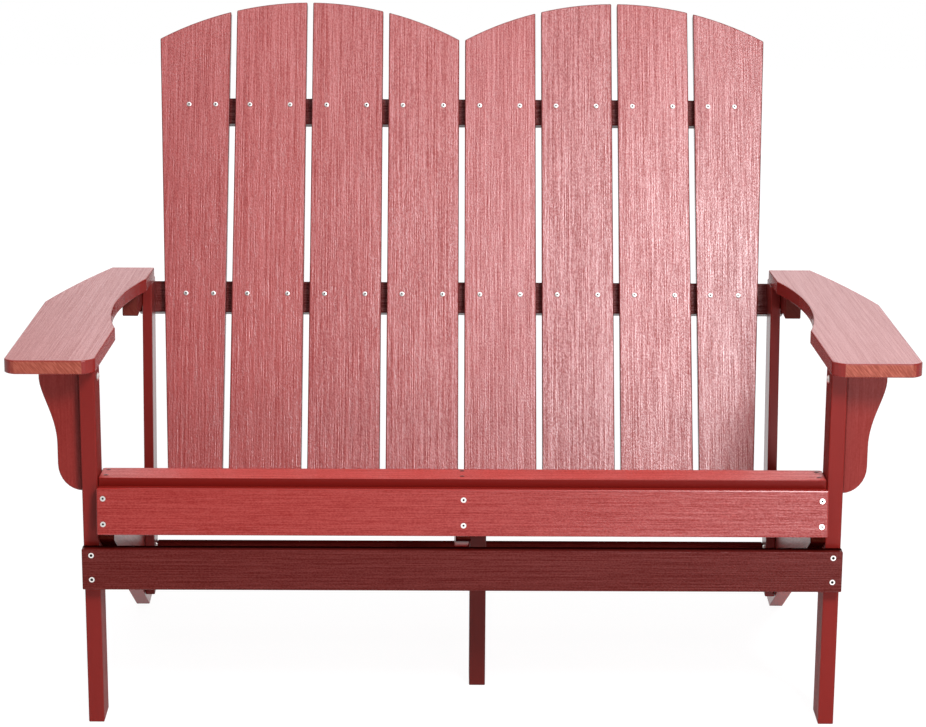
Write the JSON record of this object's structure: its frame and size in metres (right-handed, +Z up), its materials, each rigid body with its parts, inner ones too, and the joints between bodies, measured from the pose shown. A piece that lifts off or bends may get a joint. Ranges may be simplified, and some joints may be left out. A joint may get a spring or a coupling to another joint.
{
  "type": "adirondack loveseat",
  "caption": "Two-place adirondack garden seat: slatted double-crest back, wide flat arms on curved brackets, straight front legs and stringers that slope to the floor.",
  "frame": {"origin": "centre of the outline's footprint, on the floor", "axes": "+Z up, +X to the right as seen from the front, the sitter faces -Y"},
  "size_m": [1.2498, 0.7798, 0.9209],
  "materials": {
    "surface_board": "embossed wood grain, satin",
    "frame_board": "embossed wood grain, satin",
    "screw": "plain"
  },
  "bodies": {
    "root": {"arm_left": "surface_board", "arm_right": "surface_board", "seat_board_1": "surface_board", "seat_board_2": "surface_board", "seat_board_3": "surface_board", "seat_board_4": "surface_board", "seat_board_5": "surface_board", "seat_board_6": "surface_board", "back_slat_1": "surface_board", "back_slat_2": "surface_board", "back_slat_3": "surface_board", "back_slat_4": "surface_board", "back_slat_5": "surface_board", "back_slat_6": "surface_board", "back_slat_7": "surface_board", "back_slat_8": "surface_board", "apron": "frame_board", "nose_board": "frame_board", "centre_leg": "frame_board", "front_leg_left": "frame_board", "front_leg_right": "frame_board", "rear_post_left": "frame_board", "rear_post_right": "frame_board", "arm_cleat_left": "frame_board", "arm_cleat_right": "frame_board", "arm_bracket_left": "frame_board", "arm_bracket_right": "frame_board", "stringer_left": "frame_board", "stringer_centre": "frame_board", "stringer_right": "frame_board", "back_rail_upper": "frame_board", "back_rail_arm": "frame_board", "back_rail_lower": "frame_board", "rear_stretcher": "frame_board", "apron_screw_left_upper": "screw", "apron_screw_left_lower": "screw", "apron_screw_right_upper": "screw", "apron_screw_right_lower": "screw", "nose_screw_left_upper": "screw", "nose_screw_left_lower": "screw", "nose_screw_centre_upper": "screw", "nose_screw_centre_lower": "screw", "nose_screw_right_upper": "screw", "nose_screw_right_lower": "screw", "bracket_screw_left": "screw", "bracket_screw_right": "screw", "leg_screw_left_1": "screw", "leg_screw_left_2": "screw", "leg_screw_right_1": "screw", "leg_screw_right_2": "screw", "post_screw_left_1": "screw", "post_screw_left_2": "screw", "post_screw_right_1": "screw", "post_screw_right_2": "screw", "centre_leg_screw_1": "screw", "centre_leg_screw_2": "screw"}
  },
  "joints": []
}
